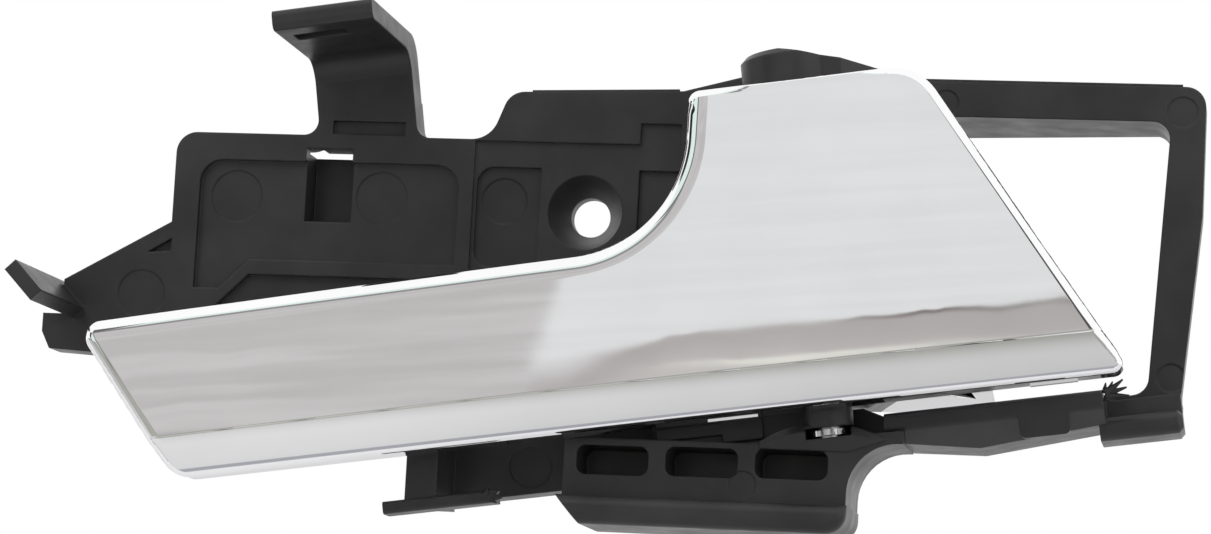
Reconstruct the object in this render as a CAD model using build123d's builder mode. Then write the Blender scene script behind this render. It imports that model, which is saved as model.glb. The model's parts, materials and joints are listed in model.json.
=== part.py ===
from math import atan2, cos, pi, radians, sin, sqrt, tan
import os

from build123d import *

os.makedirs("parts", exist_ok=True)

# Interior door handle: a plated pull lever hinged on a moulded bracket.
# X runs right along the door, Y into the door, Z up. The origin is the screw hole's seat.
# A depth is counted ahead of that seat, towards the cabin, so a point's Y is minus its depth.
# Lengths are in millimetres and angles in degrees.

# Walls and clearances
WALL = 2.4
RIM_WALL = 1.8
RUN_GAP = 0.4
BORE_GAP = 0.05
SEAT_GAP = 0.02
SKETCH_SPARE = 5.0
INSET = 0.5

# Bracket plate
PLATE_FRONT = 6.0
RIM_DEPTH = 6.0
PANEL_LEFT = -64.0
PANEL_TOP = 10.7
PANEL_CORNER = 3.2
SHOULDER = -3.3
PLATEAU_LEFT = -13.7
PLATEAU_TOP = 18.1
PLATEAU_RISE = 0.7
PLATEAU_SLOPE = 2.8
PLATEAU_BLEND = 3.2
PLATEAU_FOOT_BLEND = 4.2
ROOT_LEFT = -80.4
ROOT_TOP = -12.7
LOBE_LEFT = -83.4
LOBE_TOP = -18.0
LOBE_BOTTOM = -23.4
LOBE_BEVEL = 1.3
PANEL_BOTTOM = -26.5
SKIRT_LEFT = -24.5
SKIRT_V = -31.2
BOX_BOTTOM = -44.0
BOX_FRONT = 20.0

# Window frame
FRAME_TOP = 21.2
FRAME_LEFT = 23.2
FRAME_RIGHT = 92.0
FRAME_KNEE = 2.0
FRAME_CORNER = 3.0
WINDOW_LEFT = 16.0
WINDOW_TOP = 15.9
WINDOW_RIGHT = 87.0
WINDOW_LEAN = 2.1
WINDOW_CORNER = 2.6
SLEEVE_DEPTH = 13.0
SILL_LEFT = -9.8
SILL_TOP = -22.6
HOOD_DEPTH_LEFT = 26.0
HOOD_DEPTH_RIGHT = 13.0

# Screw funnel
SCREW_RADIUS = 3.0
SCREW_LENGTH = 2.5
FUNNEL_RADIUS = 6.0
FUNNEL_WALL = 1.6

# Cable anchor behind the window's right bar
ANCHOR_LEFT = 86.6
ANCHOR_THICK = 3.0
ANCHOR_HALF = 6.5
ANCHOR_LIP = 4.5
ANCHOR_SLOT_RADIUS = 2.4

# Shallow pockets of the plate
POCKET = 1.1
POCKET_LEFT = -60.0
POCKET_RIGHT = -19.5
POCKET_TOP = 6.6
POCKET_BOTTOM = -8.7
POCKET_CORNER = 3.6
POCKET_FOOT = -51.4
SHOULDER_POCKET = ((-67.6, -8.1), (-63.8, -7.8), (-63.8, -5.8))
BAND = 2.3
STEP = 0.6
STEP_LEFT = -17.3
STEP_TOP = 10.5
STEP_JOG = 8.0
STEP_HIGH = 13.7
SIDE_POCKET_RIGHT = -7.0
EAST_POCKET_LEFT = 8.0
SIDE_POCKET = 1.4
SIDE_POCKET_CORNER = 2.6
EJECTOR = 0.2
EJECTOR_MARKS = (
    (-54.3, 1.1, 4.0, PLATE_FRONT - POCKET),
    (-31.6, 1.4, 4.0, PLATE_FRONT - POCKET),
    (-12.6, 1.5, 3.5, PLATE_FRONT - SIDE_POCKET),
    (-68.1, -14.5, 3.7, PLATE_FRONT),
    (-6.0, -38.7, 3.2, PLATE_FRONT),
    (53.7, 18.0, 1.9, PLATE_FRONT),
    (88.6, 17.4, 2.3, PLATE_FRONT),
    (88.2, -22.0, 2.1, PLATE_FRONT),
    (27.9, -41.2, 2.0, BOX_FRONT),
)

# Ribs behind the plate
REAR_RIB = 1.2
REAR_RIB_Z = -11.0
REAR_RIBS = (-52.0, -22.0, -11.0)

# Clip pocket in the plate
CLIP_LEFT = -43.5
CLIP_RIGHT = -36.2
CLIP_BOTTOM = -2.5
CLIP_TOP = 8.7
CLIP_DEPTH = 7.0
CLIP_SLIT = 0.6

# Hinge: the pin leans left at the top, square to the lever's long edges
PIVOT_X = 35.9
PIVOT_Z = -5.0
PIVOT_DEPTH = 18.0
LEAN = 8.5
PIN_RADIUS = 2.0
PIN_HEAD_RADIUS = 3.4
PIN_HEAD = 1.4
EAR_RADIUS = 7.6
EAR_ROUND = 1.6
UPPER_EAR = 5.5
EAR_SEAT = 2.6
EAR_SLOPE = 15.0
EAR_SLOPE_U = -1.2
GUSSET_RIGHT = 16.0
GUSSET_TURN = 3.0
HUMP_RADIUS = 18.0
HUMP_WIDTH = 20.0
HUMP_TOP = -31.8
HUMP_FOOT = -35.9
HUMP_TOE = -33.4
HUMP_NOSE = 3.3
HUMP_BEVEL = 1.2
HUMP_SETBACK = 1.1
HINGE_WALL_LEFT = -26.0
HINGE_WALL_RIGHT = 4.5
HINGE_WALL_TOP = -24.6
HINGE_WALL_FRONT = 11.4
SHELF_FRONT = 16.5
SHELF_RIGHT = -3.0
SHELF_STEP = -15.8
SHELF_PAD = 0.7
SHELF_PAD_FOOT = -26.8
PIN_FOOT = -30.2
CLIP_SLOT = 1.6
CLIP_SLOT_V = -28.5
RETAINER = 0.8
RETAINER_RADIUS = 2.9
GROOVE_RADIUS = 1.5

# Hook at the top, on the lever's leaning directions
HOOK_LEFT = -74.3
HOOK_RIGHT = -59.2
HOOK_UNDER = 38.3
HOOK_THICK = 3.0
HOOK_TIP = 31.5
HOOK_STEM = 5.4
HOOK_BEND = 3.6
HOOK_FOOT = 22.0
HOOK_JOIN = 31.0
HOOK_FILLET = 2.2
HOOK_FOOT_POCKET = (-39.6, -28.3, 11.0, 13.0)
HOOK_CATCH = (-72.4, -64.6, 4.6, 8.6)
HOOK_CATCH_DEPTH = 1.3

# Tongue at the left
TONGUE_X = -79.9
TONGUE_Z = -15.7
TONGUE_WIDTH = 6.2
TONGUE_THICK = 2.2
TONGUE_TURN = -46.0
TONGUE_TIP = 27.5

# Lower box, its slots and lips
BOX_LEFT = 1.5
BOX_RIGHT = 43.0
BOX_TOP = -35.2
COVE = 7.4
SLOT_LEFT = 3.4
SLOT_WIDTH = 10.6
SLOT_HEIGHT = 4.3
SLOT_PITCH = 13.1
SLOT_RISE = 0.2
SLOT_MIDDLE = -38.4
SLOT_CORNER = 1.4
SLOT_DEPTH = 9.0
SLOTS = 3
LIP_FRONT = 24.0
LIP_TOP = -43.8
LIP_BOTTOM = -48.0
LIP_CORNER = 3.0
LIP_SLANT = 3.2
LIP_NOSE = 1.6
POST_LEFT = -22.3
POST_RIGHT = -17.6
POST_FRONT = 18.0
POST_FOOT = -45.8
TAIL_LEFT = -66.8
TAIL_RIGHT_U = -50.0
TAIL_V = -32.1
TAIL_THICK = 1.9
TAIL_FRONT = 18.4
TAIL_BACK = 14.0

# Bottom bar and its end block, on the lever's leaning directions
BAR_FRONT = 18.0
BAR_TOP = -26.4
BAR_RIDGE = -29.0
BAR_FOOT = -32.4
BAR_END_FOOT = -31.1
BAR_KNEE = 21.0
BAR_FOOT_FRONT = 9.0
BAR_WEB = 1.0
BAR_LEFT = 8.0
BLOCK_LEFT = 38.4
BLOCK_RIGHT = 50.4
BLOCK_TOP = -27.4
BLOCK_FOOT = -33.4
BLOCK_FRONT = 14.0
BLOCK_ROLL = -30.0
BLOCK_BACK = 11.0
BLOCK_ROUND = 1.3
BAR_RIGHT = 39.5
FLAP_LEFT = 27.2
FLAP_WIDTH = 7.3
FLAP_DROP = 3.2
FLAP_THICK = 0.9

# Lever: u along it from the pin, v up the pin
LEVER_LEFT = -108.6
LEVER_END_SLANT = 12.8
BLADE_TOP = -1.1
BLADE_RISE = 0.9
LEVER_BOTTOM = -25.3
LEVER_TOP = 21.7
WIDE_LEFT = -14.1
WIDE_SLANT = 3.2
WIDE_RIGHT = 19.1
TAIL_RIGHT = 44.1
SWEEP_RADIUS = 18.0
END_CORNER = 4.5
TIP_CORNER = 2.5
TAIL_CORNER = 1.5
HEAD_CORNER = 7.5
NECK_CORNER = 1.8
LEVER_FRONT = 32.0
LEVER_BACK = 22.0
CROWN_U = -20.0
LENGTH_RADIUS = 1300.0
FACE_RADIUS = 260.0
CREASE = -19.3
BEVEL_ANGLE = 27.0
CREASE_RADIUS = 1.0
RIM_RADIUS = 1.2
LEVER_WALL = 2.2
RIB = 1.4
RIB_BACK = 0.6
RIB_PITCH = 19.0
RIBS = 7
SPINE_V = -12.5
KNUCKLE_RADIUS = 5.6
KNUCKLE = 4.2
KNUCKLE_LIFT = 1.0
ARM_SPREAD = 9.0
CRANK = 2.2
CRANK_RISE = 1.1
CRANK_RIGHT = 24.2
CRANK_REACH = 28.0
CRANK_TIP_U = 18.0
CRANK_TIP_RADIUS = 4.6
CRANK_RAIL = 3.6
CRANK_HOLE_LEFT = 12.9
CRANK_HOLE_REACH = 14.0
CABLE_HOLE_RADIUS = 2.0
STOP_U = -28.0
STOP_V = -8.0
STOP_RADIUS = 3.6
STOP_GAP = 0.3

# Return spring
WIRE_RADIUS = 0.6
COIL_RADIUS = 3.9
COIL_TURNS = 3
WIRE_SIDES = 6
COIL_PITCH = 1.4
COIL_BASE = -19.5
LEVER_LEG = 13.0
LEG_ANGLE = 45.0

# Rubber stop
BUMPER_RADIUS = 4.0
BUMPER = 3.0
BUMPER_STEM_RADIUS = 1.8
BUMPER_BULB_RADIUS = 2.4
BUMPER_BULB = 1.6
BUMPER_TAPER = 20.0

# Leaning directions
LEVER_DIR = Vector(cos(radians(LEAN)), 0, sin(radians(LEAN)))
PIN_DIR = Vector(-sin(radians(LEAN)), 0, cos(radians(LEAN)))
CABIN_DIR = Vector(0, -1, 0)
PIVOT = Vector(PIVOT_X, -PIVOT_DEPTH, PIVOT_Z)

# Depths and heights that follow
PLATE_BACK = PLATE_FRONT - WALL
BOX_SHOULDER = BOX_RIGHT + COVE + INSET
PLATE_COVE_X = BOX_RIGHT - INSET
GUSSET_BACK = PIVOT_DEPTH - PLATE_BACK - INSET
UPPER_EAR_FOOT = LEVER_TOP + RUN_GAP
KNUCKLE_FOOT = LEVER_BOTTOM + KNUCKLE_LIFT
BOSS_TOP = KNUCKLE_FOOT - RUN_GAP
BOSS_FOOT = CLIP_SLOT_V + CLIP_SLOT / 2
HUMP_FRONT = PIVOT_DEPTH + HUMP_NOSE
EAR_BOSS_RADIUS = LEVER_BACK - PIVOT_DEPTH - RUN_GAP
CLIP_SLOT_HALF = RETAINER_RADIUS + RUN_GAP
CRANK_FOOT = LEVER_BOTTOM + CRANK_RISE
ANCHOR_V = CRANK_FOOT + CRANK / 2
ANCHOR_SLOT_Y = CRANK_REACH - PIVOT_DEPTH
ANCHOR_REACH = ANCHOR_SLOT_Y + ANCHOR_LIP
STOP_FACE = PLATE_FRONT - STEP
PIN_TOP = UPPER_EAR_FOOT + EAR_SEAT
EAR_TOP = UPPER_EAR_FOOT + UPPER_EAR


def front(depth):
    """Plane parallel to the plate, with the part's x and z."""
    return Plane.XZ.offset(depth)


def leaning(depth):
    """Plane parallel to the plate, with the lever's u and v."""
    return Plane(origin=(PIVOT_X, -depth, PIVOT_Z), x_dir=LEVER_DIR, z_dir=CABIN_DIR)


def across_pin(height):
    """Plane square to the pin: local x along the lever, local y into the door."""
    return Plane(origin=PIVOT + PIN_DIR * height, x_dir=LEVER_DIR, z_dir=PIN_DIR)


def across_lever(u):
    """Plane square to the lever: local x is depth, local y is v. Extrusion runs to lower u."""
    return Plane(origin=place(u, 0, 0), x_dir=CABIN_DIR, z_dir=-LEVER_DIR)


def place(u, v, depth):
    """Part coordinates of a point given on the lever."""
    return PIVOT + LEVER_DIR * u + PIN_DIR * v + CABIN_DIR * (depth - PIVOT_DEPTH)


def plate_point(u, v):
    """Plate x and z of a point given on the lever."""
    point = place(u, v, 0)
    return (point.X, point.Z)


def span(left, right, bottom, top):
    """Rectangle given by its edges."""
    with Locations(((left + right) / 2, (bottom + top) / 2)):
        Rectangle(right - left, top - bottom)


def outline(*points):
    """Closed straight-sided face."""
    Polygon(*points, align=None)


def corner(x, z, radius):
    """Round the sketch corner nearest to a point."""
    sketch = BuildSketch._get_context()
    fillet(sketch.vertices().sort_by_distance((x, z, 0))[0], radius)


ANCHOR_Z = place(BLOCK_LEFT + WALL, ANCHOR_V, 0).Z


def skirt_foot(x):
    """Height of the plate's slanting lower edge."""
    start = plate_point(TAIL_LEFT, SKIRT_V)
    return start[1] + (x - start[0]) * tan(radians(LEAN))


def stem_foot(u):
    """Point where a line up the hook's stem leaves the panel's top edge."""
    low = plate_point(u, HOOK_JOIN)
    return (low[0] + (low[1] - PANEL_TOP) * tan(radians(LEAN)), PANEL_TOP)


STEM_LEFT = stem_foot(HOOK_LEFT)
STEM_RIGHT = stem_foot(HOOK_RIGHT)

# Window outline: its foot follows the lever's lower edge and steps up left of the hinge
WINDOW_HEEL = plate_point(BAR_LEFT, BAR_TOP)
WINDOW_TOE_X = WINDOW_RIGHT - WINDOW_LEAN
WINDOW_TOE = (WINDOW_TOE_X, WINDOW_HEEL[1] + (WINDOW_TOE_X - WINDOW_HEEL[0]) * tan(radians(LEAN)))
WINDOW_SILL = plate_point(SILL_LEFT, SILL_TOP)
WINDOW_LOW_LEFT = (WINDOW_LEFT, WINDOW_SILL[1] + (WINDOW_LEFT - WINDOW_SILL[0]) * tan(radians(LEAN)))
with BuildSketch(front(PLATE_FRONT)) as window:
    outline(
        WINDOW_LOW_LEFT,
        WINDOW_SILL,
        plate_point(-EAR_RADIUS, HINGE_WALL_TOP),
        plate_point(HINGE_WALL_RIGHT, HINGE_WALL_TOP),
        WINDOW_HEEL,
        WINDOW_TOE,
        (WINDOW_RIGHT, WINDOW_TOP),
        (WINDOW_LEFT, WINDOW_TOP),
    )
    for turn in (WINDOW_LOW_LEFT, WINDOW_TOE, (WINDOW_RIGHT, WINDOW_TOP), (WINDOW_LEFT, WINDOW_TOP)):
        corner(*turn, WINDOW_CORNER)

# Front outline of the bottom bar
BAR_END = plate_point(BLOCK_LEFT, BAR_END_FOOT)
BAR_BEND = plate_point(BAR_KNEE, BAR_FOOT)
with BuildPart() as bar:
    with BuildSketch(front(PLATE_BACK)):
        outline(
            plate_point(BAR_LEFT, BAR_TOP),
            plate_point(BAR_RIGHT, BAR_TOP),
            plate_point(BAR_RIGHT, BAR_END_FOOT),
            BAR_BEND,
            (WINDOW_HEEL[0], BAR_BEND[1]),
        )
    extrude(amount=BAR_FRONT - PLATE_BACK)
    with BuildSketch(across_lever(BLOCK_RIGHT)) as section:
        outline(
            (PLATE_BACK, BAR_TOP),
            (BAR_FRONT, BAR_TOP),
            (BAR_FRONT, BAR_RIDGE),
            (BAR_FOOT_FRONT, BAR_FOOT - WALL),
            (PLATE_BACK, BAR_FOOT - WALL),
        )
        fillet(section.vertices().group_by(Axis.X)[-1], RIM_WALL / 2)
    extrude(amount=BLOCK_RIGHT - BAR_LEFT + SKETCH_SPARE, mode=Mode.INTERSECT)
    with BuildSketch(across_lever(BLOCK_LEFT)):
        span(PLATE_BACK - SKETCH_SPARE, BAR_FOOT_FRONT, BAR_END_FOOT + BAR_WEB, BAR_TOP - RIM_WALL)
    extrude(amount=BLOCK_LEFT - BAR_KNEE, mode=Mode.SUBTRACT)

# End block of the bar: a flat pad over a rounded roll
with BuildPart() as block:
    with BuildSketch(across_lever(BLOCK_RIGHT)) as block_section:
        outline(
            (PLATE_BACK + INSET, BLOCK_FOOT),
            (BLOCK_FRONT, BLOCK_FOOT),
            (BLOCK_FRONT, BLOCK_ROLL),
            (BLOCK_BACK, BLOCK_ROLL),
            (BLOCK_BACK, BLOCK_TOP),
            (PLATE_BACK + INSET, BLOCK_TOP),
        )
        fillet(block_section.vertices().group_by(Axis.X)[-1], BLOCK_ROUND)
    extrude(amount=BLOCK_RIGHT - BLOCK_LEFT)
    chamfer(block.edges().filter_by(Axis.Y).group_by(Axis.X)[-1], BLOCK_ROUND / 2)

# Rounded lip under the lower box
with BuildPart() as lip:
    with BuildSketch(front(LIP_FRONT)):
        outline(
            (BOX_LEFT - INSET, LIP_TOP),
            (BOX_RIGHT + INSET, LIP_TOP),
            (BOX_RIGHT + INSET, LIP_BOTTOM),
            (BOX_LEFT + LIP_SLANT, LIP_BOTTOM),
        )
        corner(BOX_RIGHT + INSET, LIP_BOTTOM, LIP_CORNER)
    extrude(amount=PLATE_FRONT + INSET - LIP_FRONT)
    fillet(lip.edges().filter_by(Axis.X).group_by(Axis.Y)[0], LIP_NOSE)

# Upper hinge ear: a round boss on a gusset that slopes down to the right
with BuildPart() as upper_ear:
    with BuildSketch(across_pin(UPPER_EAR_FOOT)):
        Circle(EAR_RADIUS)
    extrude(amount=UPPER_EAR)
    chamfer(upper_ear.edges().sort_by(Axis.Z)[-1], EAR_ROUND / 2)
    with BuildSketch(across_pin(UPPER_EAR_FOOT)):
        outline(
            (EAR_ROUND - EAR_RADIUS, 0),
            (0, EAR_ROUND - EAR_RADIUS),
            (EAR_RADIUS, EAR_ROUND - EAR_RADIUS),
            (GUSSET_RIGHT, GUSSET_TURN),
            (GUSSET_RIGHT, GUSSET_BACK),
            (EAR_ROUND - EAR_RADIUS, GUSSET_BACK),
        )
    extrude(amount=UPPER_EAR)
    with BuildSketch(leaning(PIVOT_DEPTH + EAR_RADIUS + INSET)):
        fall = (GUSSET_RIGHT + INSET - EAR_SLOPE_U) * tan(radians(EAR_SLOPE))
        outline(
            (EAR_SLOPE_U, EAR_TOP),
            (GUSSET_RIGHT + INSET, EAR_TOP - fall),
            (GUSSET_RIGHT + INSET, EAR_TOP + INSET),
            (EAR_SLOPE_U, EAR_TOP + INSET),
        )
    extrude(amount=-PIVOT_DEPTH - EAR_RADIUS - INSET, mode=Mode.SUBTRACT)

# Lower hinge seat: an arched hump that grows out of the box
HUMP_X = plate_point(0, CLIP_SLOT_V)[0]
with BuildPart() as hump:
    with BuildSketch(front(HUMP_FRONT)) as arch:
        with Locations((HUMP_X, HUMP_TOP - HUMP_RADIUS)):
            Circle(HUMP_RADIUS)
        with BuildSketch(front(HUMP_FRONT), mode=Mode.INTERSECT):
            outline(
                (HUMP_X - HUMP_WIDTH / 2, HUMP_FOOT),
                (BOX_RIGHT, HUMP_FOOT),
                (HUMP_X + HUMP_WIDTH / 2, HUMP_TOE),
                (HUMP_X + HUMP_WIDTH / 2, HUMP_TOP + INSET),
                (HUMP_X - HUMP_WIDTH / 2, HUMP_TOP + INSET),
            )
    extrude(amount=PLATE_BACK + INSET - HUMP_FRONT)
    chamfer(hump.faces().sort_by(Axis.Y)[0].edges().filter_by(GeomType.CIRCLE), HUMP_BEVEL)
    with BuildSketch(Plane.YZ.offset(HUMP_X - HUMP_WIDTH)):
        outline(
            (-HUMP_FRONT, HUMP_TOE),
            (HUMP_SETBACK - HUMP_FRONT, HUMP_FOOT),
            (HUMP_SETBACK - HUMP_FRONT, HUMP_FOOT - INSET),
            (-HUMP_FRONT - INSET, HUMP_FOOT - INSET),
            (-HUMP_FRONT - INSET, HUMP_TOE),
        )
    extrude(amount=2 * HUMP_WIDTH, mode=Mode.SUBTRACT)

with BuildPart() as bracket:
    # Plate with a turned-back rim
    with BuildSketch(front(PLATE_FRONT)) as plate:
        outline(
            (ROOT_LEFT, ROOT_TOP),
            (PANEL_LEFT, SHOULDER),
            (PANEL_LEFT, PANEL_TOP),
            STEM_LEFT,
            plate_point(HOOK_LEFT, HOOK_JOIN),
            plate_point(HOOK_RIGHT, HOOK_JOIN),
            STEM_RIGHT,
            (PLATEAU_LEFT - PLATEAU_SLOPE / 2, PANEL_TOP),
            (PLATEAU_LEFT + PLATEAU_SLOPE / 2, PLATEAU_TOP),
            (WINDOW_LEFT - RIM_WALL, PLATEAU_TOP + PLATEAU_RISE),
            (FRAME_LEFT, FRAME_TOP),
            (FRAME_RIGHT, FRAME_TOP),
            (FRAME_RIGHT, FRAME_KNEE),
            plate_point(BLOCK_RIGHT, BLOCK_TOP),
            BAR_END,
            BAR_BEND,
            (PLATE_COVE_X, BAR_BEND[1]),
            (PLATE_COVE_X, BOX_BOTTOM + INSET),
            (BOX_LEFT, BOX_BOTTOM + INSET),
            (BOX_LEFT, skirt_foot(BOX_LEFT)),
            (SKIRT_LEFT, skirt_foot(SKIRT_LEFT)),
            (SKIRT_LEFT, PANEL_BOTTOM),
            (LOBE_LEFT + LOBE_BEVEL, LOBE_BOTTOM),
            (LOBE_LEFT, LOBE_BOTTOM + 2 * LOBE_BEVEL),
            (LOBE_LEFT, LOBE_TOP),
            (ROOT_LEFT, LOBE_TOP),
        )
        corner(PANEL_LEFT, PANEL_TOP, PANEL_CORNER)
        corner(*STEM_LEFT, HOOK_FILLET)
        corner(*STEM_RIGHT, HOOK_FILLET)
        corner(PLATEAU_LEFT - PLATEAU_SLOPE / 2, PANEL_TOP, PLATEAU_FOOT_BLEND)
        corner(PLATEAU_LEFT + PLATEAU_SLOPE / 2, PLATEAU_TOP, PLATEAU_BLEND)
        corner(FRAME_RIGHT, FRAME_TOP, FRAME_CORNER)
        corner(PLATE_COVE_X, BAR_BEND[1], COVE)
        add(window.sketch, mode=Mode.SUBTRACT)
    extrude(amount=-RIM_DEPTH)
    # Lower box and its lip
    with BuildSketch(front(BOX_FRONT)):
        outline(
            (BOX_LEFT, BOX_BOTTOM),
            (BOX_LEFT, BOX_TOP),
            (PIVOT_X - EAR_RADIUS, BOX_TOP),
            (BOX_SHOULDER, plate_point(BAR_LEFT, BAR_RIDGE)[1]),
            (BOX_SHOULDER, BAR_BEND[1] - INSET),
            (BOX_RIGHT, BAR_BEND[1] - INSET),
            (BOX_RIGHT, BOX_BOTTOM),
        )
        corner(BOX_RIGHT, BAR_BEND[1] - INSET, COVE)
    extrude(amount=PLATE_BACK - BOX_FRONT)
    add(bar.part)

    # Hollow back
    with BuildSketch(front(PLATE_BACK)):
        add(plate.sketch)
        offset(amount=-RIM_WALL, mode=Mode.REPLACE)
    extrude(amount=-RIM_DEPTH, mode=Mode.SUBTRACT)

    # Sleeve around the window, with a deeper tapered hood along its top
    with BuildSketch(front(PLATE_FRONT)):
        add(window.sketch)
        offset(amount=RIM_WALL, mode=Mode.REPLACE)
        add(window.sketch, mode=Mode.SUBTRACT)
    extrude(amount=-SLEEVE_DEPTH)
    with BuildSketch(Plane.XY.offset(WINDOW_TOP)):
        outline(
            (WINDOW_LEFT, -PLATE_FRONT),
            (WINDOW_RIGHT, -PLATE_FRONT),
            (WINDOW_RIGHT, HOOD_DEPTH_RIGHT - PLATE_FRONT),
            (WINDOW_LEFT, HOOD_DEPTH_LEFT - PLATE_FRONT),
        )
    extrude(amount=RIM_WALL)

    # Hook: a stem that bends forward into a flat plate
    with BuildSketch(across_lever(HOOK_RIGHT)) as hook:
        outline(
            (PLATE_FRONT - HOOK_STEM, HOOK_FOOT),
            (PLATE_FRONT - HOOK_STEM, HOOK_UNDER + HOOK_THICK),
            (HOOK_TIP, HOOK_UNDER + HOOK_THICK),
            (HOOK_TIP, HOOK_UNDER),
            (PLATE_FRONT, HOOK_UNDER),
            (PLATE_FRONT, HOOK_FOOT),
        )
        corner(PLATE_FRONT - HOOK_STEM, HOOK_UNDER + HOOK_THICK, HOOK_BEND)
        corner(PLATE_FRONT, HOOK_UNDER, HOOK_BEND)
        corner(HOOK_TIP, HOOK_UNDER + HOOK_THICK, HOOK_THICK / 3)
        corner(HOOK_TIP, HOOK_UNDER, HOOK_THICK / 3)
    extrude(amount=HOOK_RIGHT - HOOK_LEFT)

    # Tongue
    with BuildSketch(front(TONGUE_TIP)):
        with Locations((TONGUE_X, TONGUE_Z)):
            Rectangle(TONGUE_WIDTH, TONGUE_THICK, rotation=TONGUE_TURN)
    extrude(amount=PLATE_BACK - TONGUE_TIP)

    # Hinge seats: ear above, hump, boss and wall below
    add(upper_ear.part)
    add(hump.part)
    with BuildSketch(leaning(HINGE_WALL_FRONT)):
        outline(
            (HINGE_WALL_LEFT, SKIRT_V),
            (HINGE_WALL_LEFT, SILL_TOP),
            (SILL_LEFT, SILL_TOP),
            (-EAR_RADIUS, HINGE_WALL_TOP),
            (HINGE_WALL_RIGHT, HINGE_WALL_TOP),
            (BAR_LEFT, BAR_TOP),
            (BAR_LEFT, BAR_RIDGE),
        )
    extrude(amount=PLATE_BACK + INSET - HINGE_WALL_FRONT)
    with BuildSketch(leaning(SHELF_FRONT)):
        span(HINGE_WALL_LEFT, SHELF_RIGHT, SKIRT_V, HINGE_WALL_TOP)
    extrude(amount=PLATE_BACK + INSET - SHELF_FRONT)
    with BuildSketch(leaning(SHELF_FRONT + SHELF_PAD)):
        span(HINGE_WALL_LEFT + INSET, SHELF_STEP, SHELF_PAD_FOOT, HINGE_WALL_TOP - INSET)
        span(SHELF_STEP, SILL_LEFT, SHELF_PAD_FOOT - WALL / 2, HINGE_WALL_TOP - INSET / 2)
    extrude(amount=-SHELF_PAD - INSET)
    with BuildSketch(across_pin(BOSS_FOOT)):
        Circle(EAR_BOSS_RADIUS)
    extrude(amount=BOSS_TOP - BOSS_FOOT)

    # Lip under the box, post, tail flange, end block and flap
    add(lip.part)
    with BuildSketch(front(POST_FRONT)):
        span(POST_LEFT, POST_RIGHT, POST_FOOT, PANEL_BOTTOM - WALL)
    extrude(amount=PLATE_BACK + INSET - POST_FRONT)
    with BuildSketch(across_lever(TAIL_RIGHT_U)) as tail:
        span(TAIL_BACK, TAIL_FRONT, TAIL_V - TAIL_THICK / 2, TAIL_V + TAIL_THICK / 2)
        fillet(tail.vertices().group_by(Axis.X)[-1], TAIL_THICK / 3)
    extrude(amount=TAIL_RIGHT_U - TAIL_LEFT)
    add(block.part)
    with BuildSketch(leaning(BAR_FRONT)) as flap:
        span(FLAP_LEFT, FLAP_LEFT + FLAP_WIDTH, BAR_RIDGE - FLAP_DROP, BAR_RIDGE + FLAP_THICK)
        fillet(flap.vertices().group_by(Axis.Y)[0], FLAP_THICK)
    extrude(amount=-FLAP_THICK)

    # Stiffening ribs behind the plate
    with BuildSketch(front(PLATE_BACK + INSET)):
        for rib_x in REAR_RIBS:
            span(rib_x - REAR_RIB / 2, rib_x + REAR_RIB / 2, PANEL_BOTTOM, PANEL_TOP - INSET)
        span(PANEL_LEFT + INSET, WINDOW_LEFT - INSET, REAR_RIB_Z - REAR_RIB / 2, REAR_RIB_Z + REAR_RIB / 2)
    extrude(amount=INSET - PLATE_BACK)

    # Screw boss and clip cup behind the plate
    with BuildSketch(front(-SCREW_LENGTH)):
        Circle(FUNNEL_RADIUS + FUNNEL_WALL)
    extrude(amount=SCREW_LENGTH + PLATE_BACK + INSET)
    with BuildSketch(front(PLATE_BACK + INSET)):
        span(CLIP_LEFT - RIM_WALL, CLIP_RIGHT + RIM_WALL, CLIP_BOTTOM - RIM_WALL, CLIP_TOP - CLIP_SLIT)
    extrude(amount=PLATE_FRONT - CLIP_DEPTH - RIM_WALL - PLATE_BACK - INSET)

    # Cable anchor with a slot open to the back
    with BuildSketch(Plane.YZ.offset(ANCHOR_LEFT)):
        span(-PLATE_BACK - INSET, ANCHOR_REACH, ANCHOR_Z - ANCHOR_HALF, ANCHOR_Z + ANCHOR_HALF)
        with Locations((ANCHOR_SLOT_Y, ANCHOR_Z)):
            Circle(ANCHOR_SLOT_RADIUS, mode=Mode.SUBTRACT)
        with Locations((ANCHOR_REACH, ANCHOR_Z)):
            Rectangle(
                2 * (ANCHOR_REACH - ANCHOR_SLOT_Y), 2 * ANCHOR_SLOT_RADIUS, mode=Mode.SUBTRACT
            )
    extrude(amount=ANCHOR_THICK)

    # Screw funnel and hole
    with BuildSketch(Plane.XY):
        outline(
            (0, -PLATE_FRONT - INSET),
            (FUNNEL_RADIUS, -PLATE_FRONT - INSET),
            (FUNNEL_RADIUS, -PLATE_FRONT),
            (SCREW_RADIUS, 0),
            (SCREW_RADIUS, SCREW_LENGTH + INSET),
            (0, SCREW_LENGTH + INSET),
        )
    revolve(axis=Axis.Y, mode=Mode.SUBTRACT)

    # Clip pocket, open at the top behind the plate
    with BuildSketch(front(PLATE_FRONT)):
        span(CLIP_LEFT, CLIP_RIGHT, CLIP_BOTTOM, CLIP_TOP)
    extrude(amount=-CLIP_DEPTH, mode=Mode.SUBTRACT)

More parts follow.
